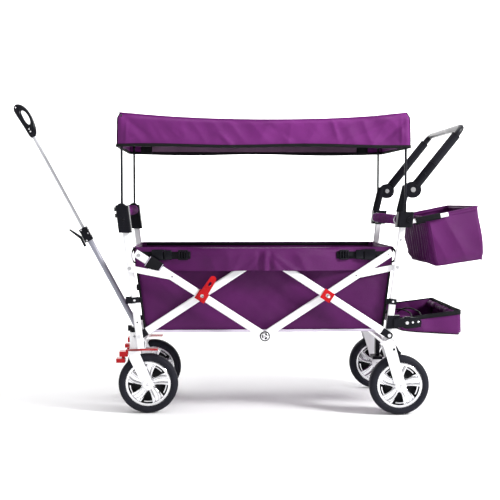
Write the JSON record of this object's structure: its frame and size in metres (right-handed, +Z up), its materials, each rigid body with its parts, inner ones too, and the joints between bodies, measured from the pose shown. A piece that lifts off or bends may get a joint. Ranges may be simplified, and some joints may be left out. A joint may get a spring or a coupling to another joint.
{
  "type": "kids pull wagon",
  "caption": "Folding wagon with scissor frame, fabric basket, canopy on four poles, caster wheels, push bar, pull handle and rear storage.",
  "frame": {"origin": "middle of the footprint, on the ground", "axes": "+X to the rear (push bar), +Y across the wagon, +Z up"},
  "size_m": [1.7624, 0.598, 1.1479],
  "materials": {
    "white_paint": "gloss white powder coat",
    "black_tube": "satin black powder coat",
    "black_plastic": "matte moulded black",
    "gloss_black_plastic": "gloss moulded black",
    "red_plastic": "gloss moulded red",
    "purple_nylon": "woven nylon with a slight sheen",
    "light_purple_nylon": "woven nylon with a slight sheen",
    "dark_nylon": "woven black nylon",
    "foam": "closed-cell foam",
    "tyre": "moulded EVA tread",
    "rim_chrome": "bright plated plastic",
    "steel": "zinc-plated fasteners",
    "grey_tube": "satin grey powder coat",
    "pale_tube": "satin pale grey powder coat"
  },
  "bodies": {
    "front_frame": {"front_tubes": "white_paint", "front_roll_pad": "purple_nylon", "front_pole_clamps": "black_plastic", "front_pivot_bolts": "steel", "front_lower_frame": "white_paint", "front_collars_and_caps": "black_plastic", "basket_tub": "purple_nylon", "basket_flaps": "light_purple_nylon"},
    "strut_b": {"strut_front_low": "white_paint", "strut_end_front": "black_plastic"},
    "strut_a": {"strut_front_high": "white_paint", "rivets_front_struts": "steel", "fold_lock_housings": "red_plastic"},
    "strut_d": {"strut_rear_high": "white_paint"},
    "strut_c": {"strut_rear_low": "white_paint", "strut_end_rear": "black_plastic", "rivets_rear_struts": "steel", "fold_lock_catches": "red_plastic"},
    "link_front": {"link_front": "white_paint"},
    "link_rear": {"link_rear": "white_paint"},
    "fold_lever_left": {"fold_lock_lever_left": "red_plastic"},
    "fold_lever_right": {"fold_lock_lever_right": "red_plastic"},
    "rear_frame": {"rear_tubes": "white_paint", "rear_roll_pad": "purple_nylon", "rear_pole_clamps": "black_plastic", "rear_collars": "black_plastic", "rear_bolts": "steel", "rear_forks_and_tube": "white_paint", "push_lower_posts": "black_plastic", "tray_mounts": "black_plastic"},
    "push_handle": {"push_arm_sockets": "black_plastic", "push_bar": "black_tube", "push_foam_sleeves": "foam"},
    "button_left": {"hinge_button_left": "rim_chrome"},
    "button_right": {"hinge_button_right": "rim_chrome"},
    "bag": {"rear_bag": "purple_nylon", "bag_sleeves": "dark_nylon"},
    "tray": {"rear_tray": "purple_nylon", "tray_hinge_plates": "gloss_black_plastic"},
    "canopy_front": {"canopy_front_bow": "black_tube", "canopy_fabric": "purple_nylon"},
    "canopy_rear": {"canopy_rear_bow": "black_tube"},
    "caster_left": {"caster_fork_left": "white_paint"},
    "caster_right": {"caster_fork_right": "white_paint"},
    "lock_left": {"swivel_lock_left": "red_plastic"},
    "lock_right": {"swivel_lock_right": "red_plastic"},
    "wheel_front_left": {"tyre_front_left": "tyre", "rim_front_left": "rim_chrome"},
    "wheel_front_right": {"tyre_front_right": "tyre", "rim_front_right": "rim_chrome"},
    "wheel_rear_left": {"tyre_rear_left": "tyre", "rim_rear_left": "rim_chrome"},
    "wheel_rear_right": {"tyre_rear_right": "tyre", "rim_rear_right": "rim_chrome"},
    "pull_handle": {"pull_lower_tube": "grey_tube", "pull_clamp": "gloss_black_plastic"},
    "pull_lever": {"pull_clamp_lever": "gloss_black_plastic"},
    "pull_slider": {"pull_rod": "pale_tube", "pull_grip": "gloss_black_plastic"},
    "brake": {"brake_pedal": "black_plastic"}
  },
  "joints": [
    {"name": "fold", "type": "hinge", "parent": "front_frame", "child": "strut_b", "pos_m": [-0.38965, 0, 0.293], "axis": [0, -1, 0], "range_deg": [0, 44], "deforming": ["basket_tub", "basket_flaps", "canopy_fabric"]},
    {"name": "front_cross", "type": "hinge", "parent": "strut_b", "child": "strut_a", "pos_m": [-0.16321, 0, 0.44005], "axis": [0, -1, 0], "range_deg": [-89, 1]},
    {"name": "low_middle", "type": "hinge", "parent": "strut_a", "child": "strut_d", "pos_m": [0.06323, 0, 0.293], "axis": [0, -1, 0], "range_deg": [-1, 89]},
    {"name": "rear_cross", "type": "hinge", "parent": "strut_d", "child": "strut_c", "pos_m": [0.28967, 0, 0.44005], "axis": [0, -1, 0], "range_deg": [-89, 1]},
    {"name": "rear_foot", "type": "hinge", "parent": "strut_c", "child": "rear_frame", "pos_m": [0.51611, 0, 0.293], "axis": [0, -1, 0], "range_deg": [-1, 45]},
    {"name": "front_link", "type": "hinge", "parent": "front_frame", "child": "link_front", "pos_m": [-0.42165, 0, 0.5405], "axis": [0, -1, 0], "range_deg": [-1, 77.98]},
    {"name": "rear_link", "type": "hinge", "parent": "rear_frame", "child": "link_rear", "pos_m": [0.54811, 0, 0.5405], "axis": [0, -1, 0], "range_deg": [-77.98, 1]},
    {"name": "fold_lever_left_turn", "type": "hinge", "parent": "strut_a", "child": "fold_lever_left", "pos_m": [-0.16321, 0, 0.44005], "axis": [0, 1, 0], "range_deg": [0, 50]},
    {"name": "fold_lever_right_turn", "type": "hinge", "parent": "strut_a", "child": "fold_lever_right", "pos_m": [-0.16321, 0, 0.44005], "axis": [0, 1, 0], "range_deg": [0, 50]},
    {"name": "caster_left_swivel", "type": "hinge", "parent": "front_frame", "child": "caster_left", "pos_m": [-0.41277, -0.182, 0.23], "axis": [0, 0, 1], "continuous": true},
    {"name": "caster_right_swivel", "type": "hinge", "parent": "front_frame", "child": "caster_right", "pos_m": [-0.41277, 0.182, 0.23], "axis": [0, 0, 1], "continuous": true},
    {"name": "wheel_front_left_spin", "type": "hinge", "parent": "caster_left", "child": "wheel_front_left", "pos_m": [-0.36277, -0.182, 0.11], "axis": [0, 1, 0], "continuous": true},
    {"name": "wheel_front_right_spin", "type": "hinge", "parent": "caster_right", "child": "wheel_front_right", "pos_m": [-0.36277, 0.182, 0.11], "axis": [0, 1, 0], "continuous": true},
    {"name": "wheel_rear_left_spin", "type": "hinge", "parent": "rear_frame", "child": "wheel_rear_left", "pos_m": [0.55623, -0.25, 0.11], "axis": [0, 1, 0], "continuous": true},
    {"name": "wheel_rear_right_spin", "type": "hinge", "parent": "rear_frame", "child": "wheel_rear_right", "pos_m": [0.55623, 0.25, 0.11], "axis": [0, 1, 0], "continuous": true},
    {"name": "swivel_lock_left_tilt", "type": "hinge", "parent": "caster_left", "child": "lock_left", "pos_m": [-0.43927, -0.182, 0.226], "axis": [0, -1, 0], "range_deg": [0, 4]},
    {"name": "swivel_lock_right_tilt", "type": "hinge", "parent": "caster_right", "child": "lock_right", "pos_m": [-0.43927, 0.182, 0.226], "axis": [0, -1, 0], "range_deg": [0, 4]},
    {"name": "pull_handle_tilt", "type": "hinge", "parent": "front_frame", "child": "pull_handle", "pos_m": [-0.41177, 0, 0.285], "axis": [0, 1, 0], "range_deg": [-57, 19]},
    {"name": "pull_rod_slide", "type": "slide", "parent": "pull_handle", "child": "pull_slider", "axis": [-0.4695, 0, 0.8829], "range_m": [-0.33, 0]},
    {"name": "pull_clamp_lever_turn", "type": "hinge", "parent": "pull_handle", "child": "pull_lever", "pos_m": [-0.61406, 0, 0.61008], "axis": [0, -1, 0], "range_deg": [0, 50]},
    {"name": "canopy_front_slide", "type": "slide", "parent": "front_frame", "child": "canopy_front", "axis": [0, 0, 1], "range_m": [-0.1, 0]},
    {"name": "canopy_rear_slide", "type": "slide", "parent": "rear_frame", "child": "canopy_rear", "axis": [0, 0, 1], "range_m": [-0.101, 0.001]},
    {"name": "push_handle_tilt", "type": "hinge", "parent": "rear_frame", "child": "push_handle", "pos_m": [0.59923, 0, 0.822], "axis": [0, -1, 0], "range_deg": [-48, 26]},
    {"name": "button_left_press", "type": "slide", "parent": "push_handle", "child": "button_left", "axis": [0, 1, 0], "range_m": [0, 0.0025], "stiffness_N_per_m": 300},
    {"name": "button_right_press", "type": "slide", "parent": "push_handle", "child": "button_right", "axis": [0, -1, 0], "range_m": [0, 0.0025], "stiffness_N_per_m": 300},
    {"name": "bag_slide", "type": "slide", "parent": "rear_frame", "child": "bag", "axis": [0.9816, 0, 0.1908], "range_m": [0, 0.12]},
    {"name": "tray_tilt", "type": "hinge", "parent": "rear_frame", "child": "tray", "pos_m": [0.58223, 0, 0.338], "axis": [0, -1, 0], "range_deg": [0, 60]},
    {"name": "brake_tilt", "type": "hinge", "parent": "rear_frame", "child": "brake", "pos_m": [0.53123, 0, 0.244], "axis": [0, 1, 0], "range_deg": [0, 4]}
  ],
  "couplings": [
    {"joint": "front_cross", "follows": "fold", "ratio": -2},
    {"joint": "low_middle", "follows": "fold", "ratio": 2},
    {"joint": "rear_cross", "follows": "fold", "ratio": -2},
    {"joint": "rear_foot", "follows": "fold", "ratio": 1},
    {"joint": "front_link", "follows": "fold", "ratio": 1.7495},
    {"joint": "rear_link", "follows": "fold", "ratio": -1.7495},
    {"joint": "canopy_rear_slide", "follows": "canopy_front_slide", "ratio": 1}
  ]
}
